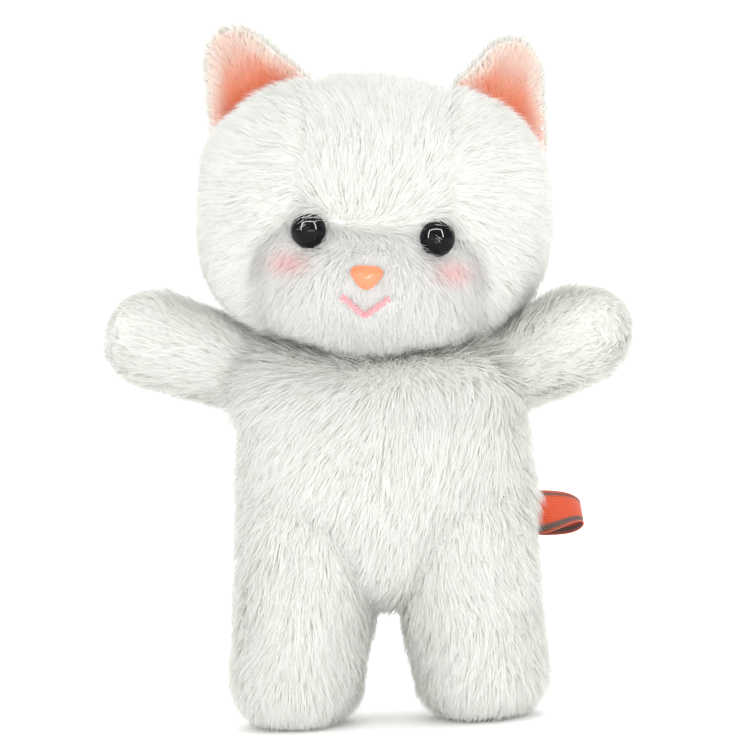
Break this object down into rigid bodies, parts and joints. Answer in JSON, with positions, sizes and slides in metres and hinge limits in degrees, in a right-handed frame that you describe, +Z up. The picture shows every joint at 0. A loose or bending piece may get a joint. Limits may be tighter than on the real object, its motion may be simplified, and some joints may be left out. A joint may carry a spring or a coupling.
{
  "type": "plush cat",
  "caption": "Standing plush cat with raised arms, upright triangular ears, safety eyes and nose, stitched mouth, jointed neck, arms, legs and tail, and a side loop label.",
  "frame": {"origin": "middle of the cat's bounding box, at the floor under its soles", "axes": "+Z up, the cat faces -Y, +X is the cat's own left"},
  "size_m": [0.1422, 0.0935, 0.1975],
  "materials": {
    "white_pile": "long soft white pile",
    "white_velboa": "combed white pile",
    "peach_plush": "short peach plush",
    "eye_plastic": "polished",
    "nose_plastic": "polished",
    "washer_plastic": "moulded",
    "pink_thread": "embroidery thread",
    "white_thread": "sewing thread",
    "label_ribbon": "woven ribbon",
    "filling": "polyester fibre"
  },
  "bodies": {
    "torso": {"torso_front_panel": "white_pile", "torso_back_left_panel": "white_pile", "torso_back_right_panel": "white_pile", "torso_stuffing": "filling", "back_closing_stitches": "white_thread"},
    "neck": {"neck_seam": "white_thread", "neck_stuffing": "filling"},
    "head": {"forehead_panel": "white_pile", "left_cheek_panel": "white_pile", "right_cheek_panel": "white_pile", "muzzle_panel": "white_velboa", "head_back_left_panel": "white_pile", "head_back_right_panel": "white_pile", "head_stuffing": "filling", "left_eye": "eye_plastic", "right_eye": "eye_plastic", "left_eye_washer": "washer_plastic", "right_eye_washer": "washer_plastic", "nose": "nose_plastic", "nose_washer": "washer_plastic", "mouth_stitching": "pink_thread"},
    "right_ear": {"right_ear_back": "white_pile", "right_ear_lining": "peach_plush"},
    "left_ear": {"left_ear_back": "white_pile", "left_ear_lining": "peach_plush"},
    "right_arm": {"right_shoulder_seam": "white_thread", "right_arm_front_panel": "white_pile", "right_arm_back_panel": "white_pile", "right_arm_stuffing": "filling"},
    "left_arm": {"left_shoulder_seam": "white_thread", "left_arm_front_panel": "white_pile", "left_arm_back_panel": "white_pile", "left_arm_stuffing": "filling"},
    "right_leg": {"right_leg_front_panel": "white_pile", "right_leg_back_panel": "white_pile", "right_foot_sole": "white_pile", "right_leg_stuffing": "filling"},
    "left_leg": {"left_leg_front_panel": "white_pile", "left_leg_back_panel": "white_pile", "left_foot_sole": "white_pile", "left_leg_stuffing": "filling"},
    "tail": {"tail_left_panel": "white_pile", "tail_right_panel": "white_pile", "tail_stuffing": "filling"},
    "label": {"side_label": "label_ribbon"}
  },
  "joints": [
    {"name": "neck_turn", "type": "hinge", "parent": "torso", "child": "neck", "pos_m": [0.00515, 0.0002, 0.102], "axis": [0, 0, 1], "range_deg": [-25, 25], "stiffness_Nm_per_rad": 0.4},
    {"name": "head_nod", "type": "hinge", "parent": "neck", "child": "head", "pos_m": [0.00515, 0.0002, 0.104], "axis": [1, 0, 0], "range_deg": [-7, 7], "stiffness_Nm_per_rad": 0.5},
    {"name": "right_ear_fold", "type": "hinge", "parent": "head", "child": "right_ear", "pos_m": [-0.02448, 0.0012, 0.17215], "axis": [0.8938, -0.1392, 0.4263], "range_deg": [-15, 15], "stiffness_Nm_per_rad": 0.02},
    {"name": "left_ear_fold", "type": "hinge", "parent": "head", "child": "left_ear", "pos_m": [0.03785, 0.0012, 0.16445], "axis": [0.9081, 0.1392, -0.3949], "range_deg": [-15, 15], "stiffness_Nm_per_rad": 0.02},
    {"name": "right_shoulder", "type": "hinge", "parent": "torso", "child": "right_arm", "pos_m": [-0.02675, 0.0022, 0.0975], "axis": [-0.0698, 0.9976, 0], "range_deg": [-35, 3], "stiffness_Nm_per_rad": 0.08},
    {"name": "left_shoulder", "type": "hinge", "parent": "torso", "child": "left_arm", "pos_m": [0.03285, 0.0012, 0.0935], "axis": [-0.6018, -0.7986, 0], "range_deg": [-35, 3], "stiffness_Nm_per_rad": 0.08},
    {"name": "right_hip", "type": "hinge", "parent": "torso", "child": "right_leg", "pos_m": [-0.01775, -0.0008, 0.0546], "axis": [-1, 0, 0], "range_deg": [-15, 60], "stiffness_Nm_per_rad": 1.2},
    {"name": "left_hip", "type": "hinge", "parent": "torso", "child": "left_leg", "pos_m": [0.02425, -0.0008, 0.0523], "axis": [-1, 0, 0], "range_deg": [-15, 60], "stiffness_Nm_per_rad": 1.2},
    {"name": "tail_wag", "type": "hinge", "parent": "torso", "child": "tail", "pos_m": [0.00485, 0.0242, 0.048], "axis": [0, 0, 1], "range_deg": [-30, 30], "stiffness_Nm_per_rad": 0.03},
    {"name": "label_flap", "type": "hinge", "parent": "torso", "child": "label", "pos_m": [0.04375, 0.0012, 0.056], "axis": [0, 0, 1], "range_deg": [-25, 25], "stiffness_Nm_per_rad": 0.002}
  ]
}
